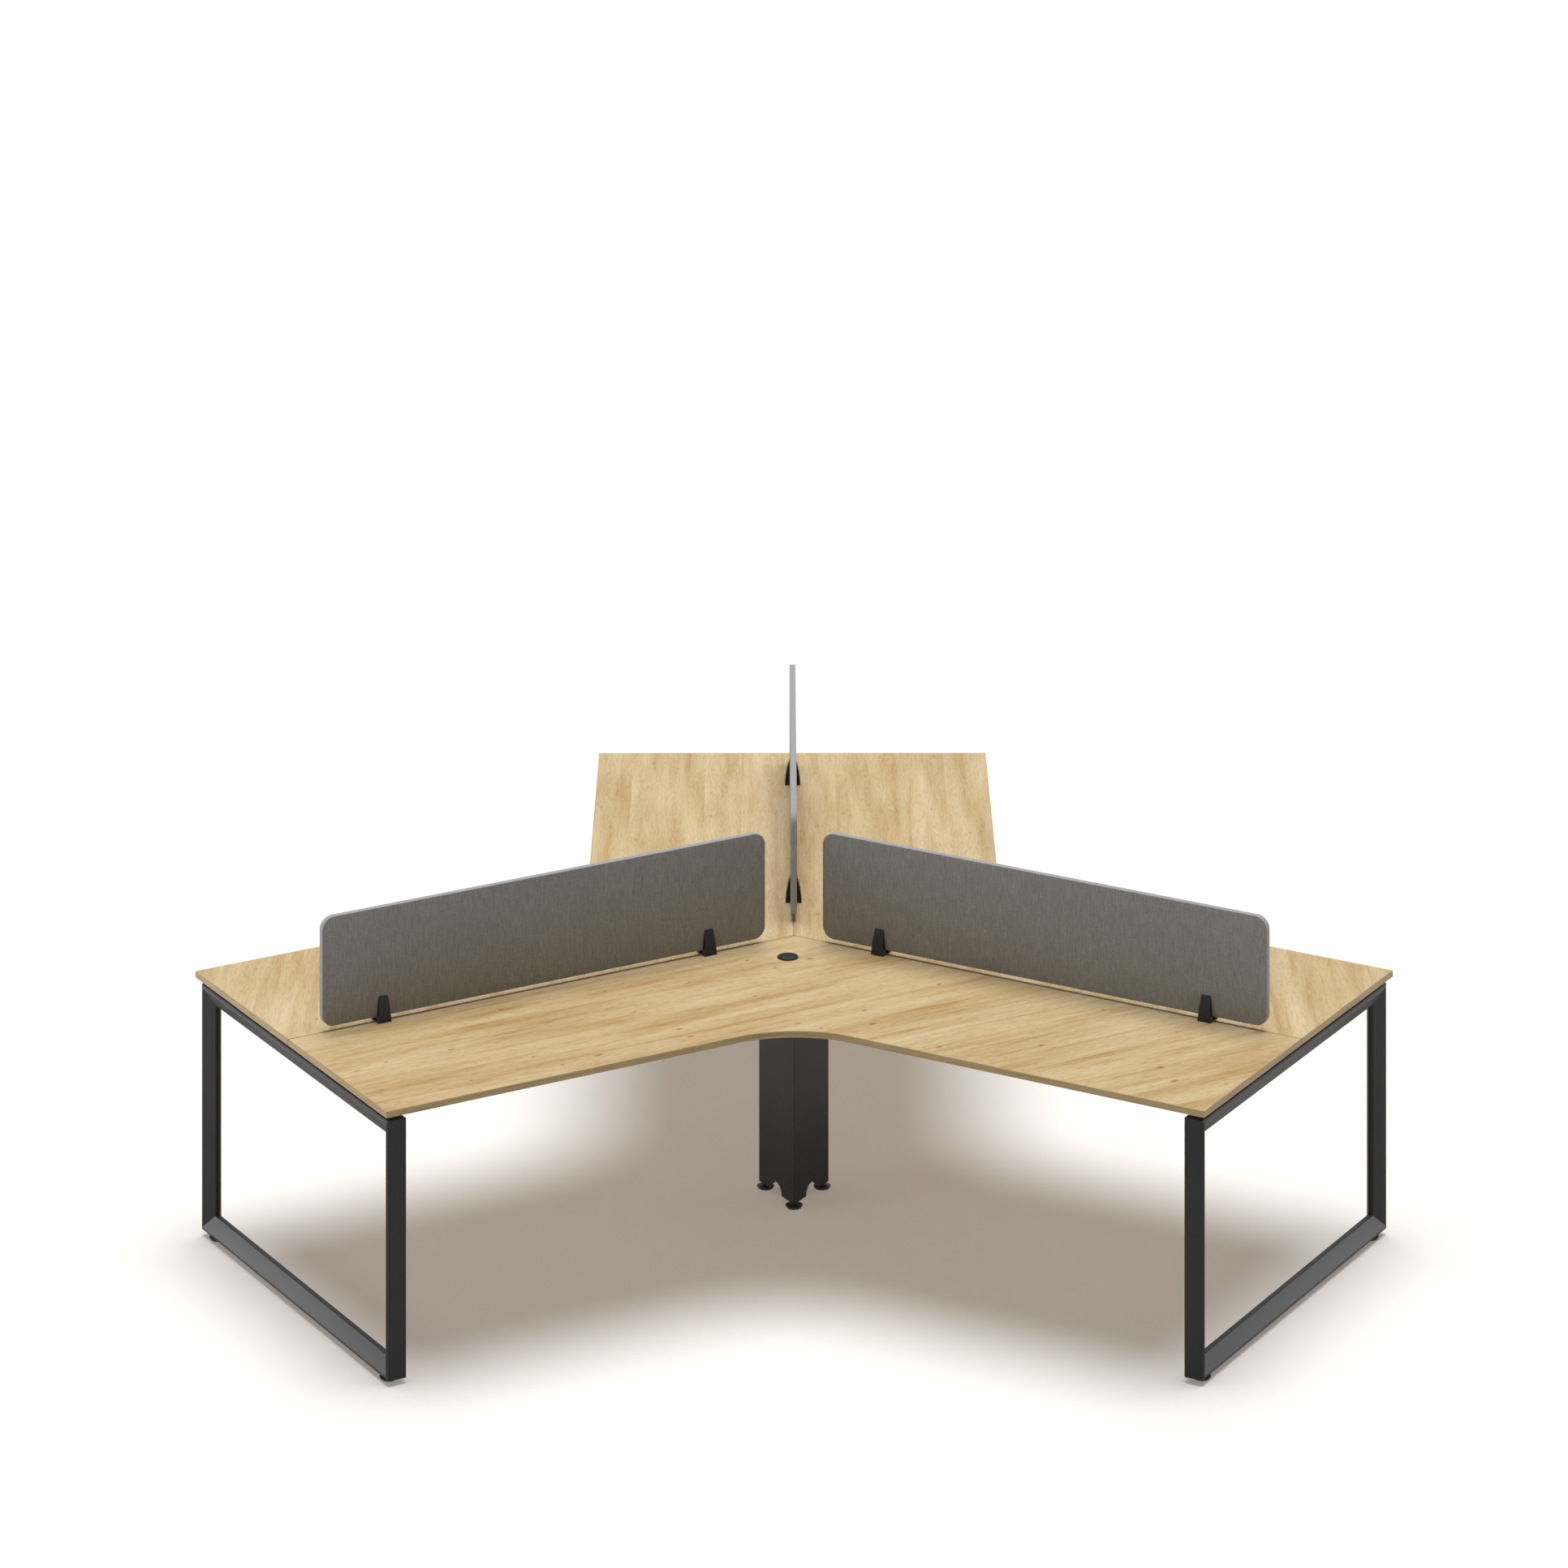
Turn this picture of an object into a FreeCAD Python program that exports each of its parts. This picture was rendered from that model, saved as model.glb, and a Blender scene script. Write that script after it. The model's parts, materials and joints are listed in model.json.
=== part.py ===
"""Three-person desk cluster: three boomerang worktops on three loop frames and a centre post.

Millimetres, +Z up. The origin is on the floor, below the middle of the cluster's plan box.
Every piece is drawn about the cluster axis, where the three worktops meet, and then moved.
An arm is drawn running along +Y, and its width lies along X. A worktop is drawn facing -Y.
"""
import FreeCAD, Part
import math
import os

Vector = FreeCAD.Vector

# Cluster layout: three arms a third of a turn apart, with one worktop between each two
arm_length = 1600.0
wing_depth = 600.0
desk_height = 740.0
seam_gap = 2.0
shadow_gap = 15.0
floor_clearance = 16.0

# Worktop: faced board with a glued edge band and a concave curve where the user sits
worktop_thickness = 18.0
front_curve_radius = 310.0
band_thickness = 2.0

# Cable grommet: flanged sleeve with a lift-out cap
grommet_reach = 174.0
grommet_side_offset = 17.6
flange_diameter = 60.0
flange_height = 3.0
sleeve_diameter = 52.0
sleeve_wall = 2.0
sleeve_overhang = 6.0
cap_rim = 3.0
cap_thickness = 2.0
cap_plug_depth = 6.0
cap_clearance = 0.3
sleeve_clearance = 0.3

# End frame: a closed loop of mitred six-sided tube, broad face outwards and narrow face inwards
frame_end_inset = 10.0
frame_side_inset = 14.0
tube_face_width = 52.0
tube_width = 60.0
tube_inner_width = 15.0
tube_shoulder_depth = 9.0
tube_depth = 50.0
tube_wall = 2.0
frame_pad_length = 60.0
frame_pad_width = 30.0
frame_pad_inner_place = 150.0
frame_pad_outer_place = 480.0

# Levelling foot: round pad, lock nut and threaded stud
pad_diameter = 50.0
pad_floor_diameter = 42.0
pad_height = 8.0
lock_nut_width = 17.0
stud_diameter = 8.0
stud_length = 30.0
stud_clearance = 0.3
foot_corner_inset = 51.0
foot_block_width = 18.0
foot_block_height = 12.0

# Centre post: folded triangular column with an arch in the foot of each face
post_side = 200.0
post_wall = 2.0
post_bend_round = 5.0
post_arch_radius = 30.0
post_foot_inset = 22.0
post_foot_bracket_reach = 45.0
post_foot_bracket_thickness = 8.0
head_plate_thickness = 4.0
head_cable_hole_diameter = 66.0
head_pad_inset = 38.0
head_pad_width = 24.0

# Beams: two rectangular tubes in each arm, pushed over a tongue at both ends
beam_width = 30.0
beam_height = 40.0
beam_wall = 2.0
beam_ridge_margin = 30.0
tongue_length = 60.0
tongue_wall = 3.0
tongue_clearance = 0.3

# Worktop brackets: slotted angles on the beams, screwed up into the boards
bracket_length = 60.0
bracket_flange = 34.0
bracket_drop = 35.0
bracket_thickness = 3.0
bracket_place = 900.0
screw_diameter = 6.0
screw_head_width = 10.0
screw_head_height = 4.0
screw_bite = 12.0
screw_clearance = 0.3

# Screen: fabric-covered board that stands over the seam in two clamps
screen_inner_place = 100.0
screen_length = 1400.0
screen_height = 300.0
screen_thickness = 18.0
screen_lift = 15.0
screen_corner_radius = 35.0
clamp_end_inset = 185.0
jaw_height = 71.0
jaw_foot_width = 40.0
jaw_tip_width = 28.0
jaw_foot_stand_out = 14.5
jaw_middle_stand_out = 10.4
jaw_tip_stand_out = 1.5
anchor_length = 24.0
anchor_plate_width = 40.0
anchor_plate_thickness = 3.0
anchor_clearance = 0.3

# Every cut runs this far past the piece that it opens
overrun = 5.0

# Worked-out places and angles
arm_step_degrees = 120.0
slant = math.radians(arm_step_degrees / 4)
cos_slant = math.cos(slant)
sin_slant = math.sin(slant)
front_reach = arm_length * sin_slant + wing_depth * cos_slant
cluster_axis_y = (front_reach - arm_length) / 2
worktop_underside = desk_height - worktop_thickness
frame_top = worktop_underside - shadow_gap
frame_bottom = floor_clearance
frame_half_width = wing_depth - frame_side_inset
frame_middle = arm_length - frame_end_inset - tube_width / 2
tube_slope = (tube_width - tube_inner_width) / 2 / (tube_depth - tube_shoulder_depth)
foot_offset = frame_half_width - foot_corner_inset
post_vertex_reach = post_side / math.sqrt(3)
post_face_reach = post_vertex_reach / 2
post_foot_reach = post_vertex_reach - post_foot_inset
post_top = frame_top - head_plate_thickness
beam_offset = post_side / 2 - beam_ridge_margin - beam_width / 2
beam_bottom = frame_top - beam_height
bracket_face = beam_offset + beam_width / 2
clamp_places = (
    screen_inner_place + clamp_end_inset,
    screen_inner_place + screen_length - clamp_end_inset,
)

UP = Vector(0, 0, 1)
ALONG = Vector(0, 1, 0)
ACROSS = Vector(1, 0, 0)
SIDES = (-1, 1)

# Name of each arm, how far it is swung, and what its two sides are called
ARMS = (
    ("back", 0, ("left", "right")),
    ("left", arm_step_degrees, ("front", "rear")),
    ("right", 2 * arm_step_degrees, ("rear", "front")),
)
DESKS = (("front", 0), ("right", arm_step_degrees), ("left", 2 * arm_step_degrees))


def placed(shape, degrees):
    """Copy of a shape, swung about the cluster axis and moved into the part's frame."""
    copy = shape.copy()
    copy.rotate(Vector(), UP, degrees)
    copy.translate(ALONG * cluster_axis_y)
    return copy


def save(name, solids):
    """Writes one node; a group of like pieces stays a group of separate solids."""
    shape = solids[0] if len(solids) == 1 else Part.makeCompound(solids)
    shape.exportStep(f"parts/{name}.step")


def save_round(name, solids):
    """Writes one node that holds the same pieces on all three arms."""
    save(name, [placed(solid, turn) for _, turn, _ in ARMS for solid in solids])


def block(low, high):
    """Box between two opposite corners."""
    size = high - low
    return Part.makeBox(size.x, size.y, size.z, low)


def rod(diameter, foot, reach, direction=UP):
    """Round bar from a foot point."""
    return Part.makeCylinder(diameter / 2, reach, foot, direction)


def nut(width, foot, height):
    """Hexagonal bar, measured across its flats."""
    corner = width / 2 / math.cos(math.pi / 6)
    points = [foot + Vector(corner * math.cos(a), corner * math.sin(a), 0)
              for a in (math.pi / 3 * i for i in range(6))]
    return prism(Part.makePolygon(points + points[:1]), UP * height)


def prism(wire, travel):
    """Solid made by pushing a closed flat wire along a vector."""
    return Part.Face(wire).extrude(travel)


def rounded_wire(corners, radii):
    """Closed wire through the corners, each one rounded by its own radius."""
    edges = []
    ends = []
    for i, corner in enumerate(corners):
        before = (corners[i - 1] - corner).normalize()
        after = (corners[(i + 1) % len(corners)] - corner).normalize()
        half_angle = before.getAngle(after) / 2
        middle = (before + after).normalize()
        trim = radii[i] / math.tan(half_angle)
        start, end = corner + before * trim, corner + after * trim
        if radii[i] > 0:
            top = corner + middle * (radii[i] / math.sin(half_angle) - radii[i])
            edges.append(Part.Arc(start, top, end).toShape())
        ends.append((start, end))
    for i, (_, end) in enumerate(ends):
        edges.append(Part.makeLine(end, ends[(i + 1) % len(ends)][0]))
    return Part.Wire(Part.__sortEdges__(edges))


# Worktops, edge bands and grommets


def wing_point(reach, offset, side, height):
    """Point of the front worktop, by its distance along an arm and across from the seam."""
    x = side * (reach * cos_slant - offset * sin_slant)
    return Vector(x, -reach * sin_slant - offset * cos_slant, height)


def worktop_solid(inset):
    """Boomerang slab, with its whole outline moved inwards."""
    seam = seam_gap / 2 + inset
    end = arm_length - inset
    front = wing_depth - inset
    corners = [
        Vector(0, -seam / cos_slant, worktop_underside),
        wing_point(end, seam, 1, worktop_underside),
        wing_point(end, front, 1, worktop_underside),
        Vector(0, -front / cos_slant, worktop_underside),
        wing_point(end, front, -1, worktop_underside),
        wing_point(end, seam, -1, worktop_underside),
    ]
    radii = [0, 0, 0, front_curve_radius + inset, 0, 0]
    return prism(rounded_wire(corners, radii), UP * worktop_thickness)


def grommet_bar(diameter, low, high):
    """Round bar on the grommet's axis between two heights."""
    return rod(diameter, Vector(-grommet_side_offset, -grommet_reach, low), high - low)


def make_worktops():
    board = worktop_solid(band_thickness)
    band = worktop_solid(0).cut(board)
    hole = sleeve_diameter + 2 * sleeve_clearance
    board = board.cut(grommet_bar(hole, worktop_underside - overrun, desk_height + overrun))
    for name, turn in DESKS:
        save(f"worktop_{name}", [placed(board, turn)])
        save(f"edge_band_{name}", [placed(band, turn)])


def make_grommets():
    rim_top = desk_height + flange_height
    seat = rim_top - cap_thickness
    sleeve_bottom = worktop_underside - sleeve_overhang
    bore = sleeve_diameter - 2 * sleeve_wall
    recess = flange_diameter - 2 * cap_rim
    sleeve = grommet_bar(flange_diameter, desk_height, rim_top)
    sleeve = sleeve.fuse(grommet_bar(sleeve_diameter, sleeve_bottom, desk_height)).removeSplitter()
    sleeve = sleeve.cut(grommet_bar(recess, seat, rim_top + overrun))
    sleeve = sleeve.cut(grommet_bar(bore, sleeve_bottom - overrun, rim_top))
    cap = grommet_bar(recess - 2 * cap_clearance, seat, rim_top)
    plug = grommet_bar(bore - 2 * cap_clearance, seat - cap_plug_depth, seat)
    cap = cap.fuse(plug).removeSplitter()
    for name, turn in DESKS:
        save(f"grommet_sleeve_{name}", [placed(sleeve, turn)])
        save(f"grommet_cap_{name}", [placed(cap, turn)])


# End frames and levelling feet


def tube_section(base, inward, inset):
    """Six-sided tube section on the end of a loop side, moved inwards by the inset."""
    bevel = (tube_width - tube_face_width) / 2 / tube_shoulder_depth
    bevel_shift = inset * math.sqrt(1 + bevel**2)
    slope_shift = inset * math.sqrt(1 + tube_slope**2)
    shoulder = tube_shoulder_depth + (bevel_shift - slope_shift) / (bevel + tube_slope)
    half_outline = (
        (tube_face_width / 2 + bevel * inset - bevel_shift, inset),
        (tube_face_width / 2 + bevel * shoulder - bevel_shift, shoulder),
        (tube_inner_width / 2 + tube_slope * inset - slope_shift, tube_depth - inset),
    )
    points = [base + inward * depth + ALONG * half for half, depth in half_outline]
    points += [base + inward * depth - ALONG * half for half, depth in reversed(half_outline)]
    return Part.makePolygon(points + points[:1])


def loop_side(middle, travel, inward):
    """One mitred side of the loop: a hollow tube cut at both ends along the corner planes."""
    start = middle - travel / 2
    mitre = travel.normalize() * tube_depth
    travel = (middle - start) * 2
    tube = prism(tube_section(start, inward, 0), travel)
    tube = tube.cut(prism(tube_section(start, inward, tube_wall), travel))
    depth = inward * tube_depth
    edge = ALONG * (tube_width / 2)
    outline = [start, start + travel, start + travel - mitre + depth, start + mitre + depth]
    sector = Part.makePolygon([point - edge for point in outline + outline[:1]])
    return tube.common(prism(sector, edge * 2))


def make_end_frames():
    width = ACROSS * (2 * frame_half_width)
    height = UP * (frame_top - frame_bottom)
    middle = Vector(0, frame_middle, (frame_top + frame_bottom) / 2)
    top_rail = loop_side(middle + height / 2, Vector(width), -UP)
    bottom_rail = loop_side(middle - height / 2, Vector(width), UP)
    for side in SIDES:
        bottom_rail = bottom_rail.cut(foot_block(side * foot_offset, tube_wall))
    legs = [loop_side(middle + width / 2 * side, Vector(height), ACROSS * -side) for side in SIDES]
    for arm, turn, side_names in ARMS:
        save(f"{arm}_frame_top_rail", [placed(top_rail, turn)])
        save(f"{arm}_frame_bottom_rail", [placed(bottom_rail, turn)])
        for leg, side_name in zip(legs, side_names):
            save(f"{arm}_frame_{side_name}_leg", [placed(leg, turn)])


def make_frame_pads():
    pads = []
    for side in SIDES:
        for place in (frame_pad_inner_place, frame_pad_outer_place):
            half = Vector(frame_pad_length / 2, frame_pad_width / 2, 0)
            centre = Vector(side * place, frame_middle, frame_top)
            pads.append(block(centre - half, centre + half + UP * shadow_gap))
    save_round("frame_pads", pads)


def levelling_foot(x, y):
    """Cupped pad, lock nut and stud, screwed right up against what it carries."""
    centre = Vector(x, y, 0)
    pad = Part.makeCone(pad_floor_diameter / 2, pad_diameter / 2, pad_height, centre)
    lock_nut = nut(lock_nut_width, centre + UP * pad_height, floor_clearance - pad_height)
    stud = rod(stud_diameter, centre + UP * floor_clearance, stud_length)
    return pad.fuse(lock_nut).fuse(stud).removeSplitter()


def foot_block(x, reach):
    """Square bar on a frame foot's axis, up from the frame's bottom."""
    half = Vector(foot_block_width / 2, foot_block_width / 2, 0)
    centre = Vector(x, frame_middle, frame_bottom)
    return block(centre - half, centre + half + UP * reach)


def stud_hole(x, y):
    """Clearance for a foot's stud through whatever lies at the frame's bottom."""
    foot = Vector(x, y, frame_bottom - overrun)
    return rod(stud_diameter + 2 * stud_clearance, foot, stud_length + 2 * overrun)


def make_feet():
    for arm, turn, side_names in ARMS:
        for side, side_name in zip(SIDES, side_names):
            foot = levelling_foot(side * foot_offset, frame_middle)
            save(f"{arm}_frame_{side_name}_foot", [placed(foot, turn)])
    for name, turn in DESKS:
        save(f"post_{name}_foot", [placed(levelling_foot(0, -post_foot_reach), turn)])
    blocks = []
    for side in SIDES:
        hole = stud_hole(side * foot_offset, frame_middle)
        blocks.append(foot_block(side * foot_offset, foot_block_height).cut(hole))
    save_round("frame_foot_blocks", blocks)


# Centre post


def post_prism(inset, low, high):
    """Rounded triangular bar with a ridge towards each user, moved inwards by the inset."""
    reach = post_vertex_reach - 2 * inset
    angles = [math.radians(arm_step_degrees * i) - math.pi / 2 for i in range(3)]
    corners = [Vector(reach * math.cos(a), reach * math.sin(a), low) for a in angles]
    rounding = max(post_bend_round - inset, 0)
    return prism(rounded_wire(corners, [rounding] * 3), UP * (high - low))


def make_post():
    shell = post_prism(0, frame_bottom, post_top)
    shell = shell.cut(post_prism(post_wall, frame_bottom - overrun, post_top + overrun))
    arch = rod(2 * post_arch_radius, UP * frame_bottom, post_vertex_reach, ALONG)
    plate = post_prism(0, post_top, frame_top)
    hole_reach = head_plate_thickness + 2 * overrun
    plate = plate.cut(rod(head_cable_hole_diameter, UP * (post_top - overrun), hole_reach))
    pad_place = Vector(0, head_pad_inset - post_vertex_reach, frame_top)
    for _, turn, _ in ARMS:
        swung_arch = arch.copy()
        swung_arch.rotate(Vector(), UP, turn)
        shell = shell.cut(swung_arch)
    save("post_shell", [placed(shell, 0)])
    save("post_head_plate", [placed(plate, 0)])
    save_round("post_head_pads", [nut(head_pad_width, pad_place, shadow_gap)])
    make_post_foot_brackets()


def make_post_foot_brackets():
    """Tapped gusset in the foot of each corner of the column."""
    bracket_top = frame_bottom + post_foot_bracket_thickness
    bracket = post_prism(post_wall, frame_bottom, bracket_top)
    back = Vector(-post_side, post_foot_bracket_reach - post_vertex_reach, frame_bottom - overrun)
    bracket = bracket.cut(block(back, Vector(post_side, post_side, bracket_top + overrun)))
    save_round("post_foot_brackets", [bracket.cut(stud_hole(0, -post_foot_reach))])


# Beams, tongues and worktop brackets


def rail_face(depth):
    """Where the end frame's sloped inner face lies, that far below the frame's top."""
    return frame_middle - tube_width / 2 + tube_slope * (depth - tube_shoulder_depth)


def bar_to_rail(start_low, start_high, middle, width, low, high):
    """Bar along the arm whose far end lies flat on the end frame's sloped face."""
    end_high, end_low = rail_face(frame_top - high), rail_face(frame_top - low)
    side = middle - width / 2
    outline = [(start_low, low), (end_low, low), (end_high, high), (start_high, high), (start_low, low)]
    wire = Part.makePolygon([Vector(side, place, height) for place, height in outline])
    return prism(wire, ACROSS * width)


def make_beams():
    low = beam_bottom + beam_wall + tongue_clearance
    high = frame_top - tube_shoulder_depth
    width = beam_width - 2 * (beam_wall + tongue_clearance)
    rail_tongues, post_tongues = [], []
    for side, beam in zip(SIDES, (make_beam(-1), make_beam(1))):
        for arm, turn, side_names in ARMS:
            save(f"{arm}_beam_{side_names[SIDES.index(side)]}", [placed(beam, turn)])
        middle = side * beam_offset
        trough_low = Vector(middle - width / 2 + tongue_wall, 0, low + tongue_wall)
        trough = block(trough_low, Vector(middle + width / 2 - tongue_wall, arm_length, high + overrun))
        starts = rail_face(frame_top - low) - tongue_length, rail_face(frame_top - high) - tongue_length
        rail_tongues.append(bar_to_rail(*starts, middle, width, low, high).cut(trough))
        corner = Vector(middle - width / 2, post_face_reach, low)
        far_corner = Vector(middle + width / 2, post_face_reach + tongue_length, high)
        post_tongues.append(block(corner, far_corner).cut(trough))
    save_round("rail_tongues", rail_tongues)
    save_round("post_tongues", post_tongues)


def make_beam(side):
    """Rectangular tube from the post's face to the end frame, its far end cut to the slope."""
    middle = side * beam_offset
    beam = bar_to_rail(post_face_reach, post_face_reach, middle, beam_width, beam_bottom, frame_top)
    inner = beam_width / 2 - beam_wall
    hollow_low = Vector(middle - inner, 0, beam_bottom + beam_wall)
    hollow_high = Vector(middle + inner, arm_length, frame_top - beam_wall)
    return beam.cut(block(hollow_low, hollow_high))


def worktop_screw(x, y, seat):
    """Hexagon-head screw from its seat up into the board above."""
    head = nut(screw_head_width, Vector(x, y, seat - screw_head_height), screw_head_height)
    shank = rod(screw_diameter, Vector(x, y, seat), worktop_underside + screw_bite - seat)
    return head.fuse(shank)


def make_worktop_brackets():
    brackets, screws = [], []
    seat = worktop_underside - bracket_thickness
    for side in SIDES:
        brackets.append(worktop_bracket(side))
        screw_x = side * (bracket_face + (bracket_thickness + bracket_flange) / 2)
        screws.append(worktop_screw(screw_x, bracket_place, seat))
    save_round("worktop_brackets", brackets)
    save_round("worktop_screws", screws)


def worktop_bracket(side):
    """Angle with one leg on the beam's side, and a slotted leg under the worktop."""
    low = frame_top - bracket_drop
    seat = worktop_underside - bracket_thickness
    outline = [
        (0, low),
        (0, worktop_underside),
        (bracket_flange, worktop_underside),
        (bracket_flange, seat),
        (bracket_thickness, seat),
        (bracket_thickness, low),
        (0, low),
    ]
    start = bracket_place - bracket_length / 2
    wire = Part.makePolygon([Vector(side * (bracket_face + x), start, z) for x, z in outline])
    angle = prism(wire, ALONG * bracket_length)
    slot = screw_diameter / 2 + screw_clearance
    slot_start = bracket_face + (bracket_thickness + bracket_flange) / 2 - slot
    slot_end = bracket_face + bracket_flange + overrun
    corners = [Vector(side * x, bracket_place - slot, seat) for x in (slot_start, slot_end)]
    low_corner, high_corner = sorted(corners, key=lambda corner: corner.x)
    return angle.cut(block(low_corner, high_corner + Vector(0, 2 * slot, bracket_thickness)))


# Screens and clamps


def make_screens():
    bottom = desk_height + screen_lift
    top = bottom + screen_height
    end = screen_inner_place + screen_length
    side = screen_thickness / 2
    outline = ((screen_inner_place, bottom), (end, bottom), (end, top), (screen_inner_place, top))
    corners = [Vector(-side, place, height) for place, height in outline]
    panel = prism(rounded_wire(corners, [screen_corner_radius] * 4), ACROSS * screen_thickness)
    for arm, turn, _ in ARMS:
        save(f"screen_{arm}", [placed(panel, turn)])


def clamp_jaw(side, place):
    """Tapered jaw: a swept-back side profile narrowed by a tapered front outline."""
    face = screen_thickness / 2
    tip = desk_height + jaw_height
    points = [
        Vector(side * face, place - jaw_foot_width, desk_height),
        Vector(side * (face + jaw_foot_stand_out), place - jaw_foot_width, desk_height),
        Vector(side * (face + jaw_middle_stand_out), place - jaw_foot_width, desk_height + jaw_height / 2),
        Vector(side * (face + jaw_tip_stand_out), place - jaw_foot_width, tip),
        Vector(side * face, place - jaw_foot_width, tip),
    ]
    edges = [
        Part.makeLine(points[0], points[1]),
        Part.Arc(points[1], points[2], points[3]).toShape(),
        Part.makeLine(points[3], points[4]),
        Part.makeLine(points[4], points[0]),
    ]
    profile = prism(Part.Wire(edges), ALONG * (2 * jaw_foot_width))
    outline = [
        (place - jaw_foot_width / 2, desk_height),
        (place + jaw_foot_width / 2, desk_height),
        (place + jaw_tip_width / 2, tip),
        (place - jaw_tip_width / 2, tip),
        (place - jaw_foot_width / 2, desk_height),
    ]
    wire = Part.makePolygon([Vector(0, along, height) for along, height in outline])
    return profile.common(prism(wire, ACROSS * (side * (face + jaw_foot_stand_out + overrun))))


def clamp_anchor(place):
    """Thin blade down the seam between two worktops, with a plate under both boards."""
    blade = seam_gap / 2 - anchor_clearance
    plate = anchor_plate_width / 2
    plate_bottom = worktop_underside - anchor_plate_thickness
    half_outline = (
        (plate, plate_bottom),
        (plate, worktop_underside),
        (blade, worktop_underside),
        (blade, desk_height),
    )
    start = place - anchor_length / 2
    points = [Vector(x, start, z) for x, z in half_outline]
    points += [Vector(-x, start, z) for x, z in reversed(half_outline)]
    return prism(Part.makePolygon(points + points[:1]), ALONG * anchor_length)


def make_clamps():
    jaws, rests, anchors = [], [], []
    face = screen_thickness / 2
    for place in clamp_places:
        low = Vector(-face, place - jaw_tip_width / 2, desk_height)
        rests.append(block(low, Vector(face, place + jaw_tip_width / 2, desk_height + screen_lift)))
        anchors.append(clamp_anchor(place))
        jaws += [clamp_jaw(side, place) for side in SIDES]
    for arm, turn, _ in ARMS:
        save(f"clamp_jaws_{arm}", [placed(jaw, turn) for jaw in jaws])
        save(f"clamp_rests_{arm}", [placed(rest, turn) for rest in rests])
    save_round("clamp_anchors", anchors)


os.makedirs("parts", exist_ok=True)
make_worktops()
make_grommets()
make_end_frames()
make_frame_pads()
make_feet()
make_post()
make_beams()
make_worktop_brackets()
make_screens()
make_clamps()
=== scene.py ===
"""Looks of the three-person desk cluster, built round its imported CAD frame. Metres, +Z up."""
import json
import math

import bmesh
import bpy
from mathutils import Matrix, Vector

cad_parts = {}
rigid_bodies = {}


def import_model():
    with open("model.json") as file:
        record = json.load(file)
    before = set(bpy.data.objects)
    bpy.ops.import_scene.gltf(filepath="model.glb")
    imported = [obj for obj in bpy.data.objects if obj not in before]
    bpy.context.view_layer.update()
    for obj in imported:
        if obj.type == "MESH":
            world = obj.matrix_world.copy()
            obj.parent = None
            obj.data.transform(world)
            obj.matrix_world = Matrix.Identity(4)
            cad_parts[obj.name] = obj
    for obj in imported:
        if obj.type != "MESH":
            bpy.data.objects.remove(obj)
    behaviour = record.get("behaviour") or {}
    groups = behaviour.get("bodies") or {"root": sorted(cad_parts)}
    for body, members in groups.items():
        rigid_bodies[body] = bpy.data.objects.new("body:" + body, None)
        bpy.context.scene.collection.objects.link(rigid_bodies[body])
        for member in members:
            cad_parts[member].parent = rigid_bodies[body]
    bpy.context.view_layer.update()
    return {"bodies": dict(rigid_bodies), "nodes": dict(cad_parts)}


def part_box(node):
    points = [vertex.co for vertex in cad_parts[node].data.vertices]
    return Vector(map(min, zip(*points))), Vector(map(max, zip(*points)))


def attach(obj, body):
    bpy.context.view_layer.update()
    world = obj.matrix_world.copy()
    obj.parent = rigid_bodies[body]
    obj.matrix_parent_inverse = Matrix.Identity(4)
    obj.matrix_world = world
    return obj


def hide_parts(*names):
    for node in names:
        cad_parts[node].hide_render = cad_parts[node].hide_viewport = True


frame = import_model()
nodes = frame["nodes"]
bodies = frame["bodies"]

MM = 0.001
DESKS = ("front", "right", "left")
ARMS = ("back", "left", "right")
FEET = [name for name in nodes if name.endswith("_foot")]
TUBES = [name for name in nodes if name.endswith(("_rail", "_leg"))]
MAIN_BODY = next(name for name in bodies if name not in nodes)


def middle(node):
    """Middle of a CAD node's box."""
    low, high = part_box(node)
    return (low + high) / 2


# The screens stand alike round the cluster's axis, so their middles give it, and the way each arm runs
axis_point = sum((middle(f"screen_{arm}") for arm in ARMS), Vector()) / len(ARMS)
ARM_WAYS = {arm: middle(f"screen_{arm}") - axis_point for arm in ARMS}
ARM_TURNS = {arm: math.atan2(way.y, way.x) for arm, way in ARM_WAYS.items()}


# Materials


def linear(hex_colour):
    """Linear RGBA of an sRGB hex value."""
    channels = [int(hex_colour[i:i + 2], 16) / 255 for i in (1, 3, 5)]
    return [c / 12.92 if c <= 0.04045 else ((c + 0.055) / 1.055) ** 2.4 for c in channels] + [1]


def add(tree, kind, inputs=None, stops=(), **settings):
    """Adds a node and gives its outputs; an input is a constant or a socket, stops fill a ramp.

    The sockets of a Mix node share their names, so they go by number: 0 is the share, 2 and 3 are
    numbers, mixed in output 0, and 6 and 7 are colours, mixed in output 2.
    """
    node = tree.nodes.new(kind)
    for name, value in settings.items():
        setattr(node, name, value)
    for name, value in (inputs or {}).items():
        if isinstance(value, bpy.types.NodeSocket):
            tree.links.new(value, node.inputs[name])
        else:
            node.inputs[name].default_value = value
    for number, (place, colour) in enumerate(stops):
        if number == len(node.color_ramp.elements):
            node.color_ramp.elements.new(place)
        node.color_ramp.elements[number].position = place
        node.color_ramp.elements[number].color = linear(colour)
    return node.outputs


def start_material(name, **steady):
    """New material; its steady values go on the shader's own sockets."""
    material = bpy.data.materials.new(name)
    material.use_nodes = True
    shader = material.node_tree.nodes["Principled BSDF"]
    for socket, value in steady.items():
        shader.inputs[socket.replace("_", " ")].default_value = value
    return material, material.node_tree, shader


def millimetres(*sizes):
    """Real sizes of a pattern's marks, in metres."""
    return [size * MM for size in sizes]


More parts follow.
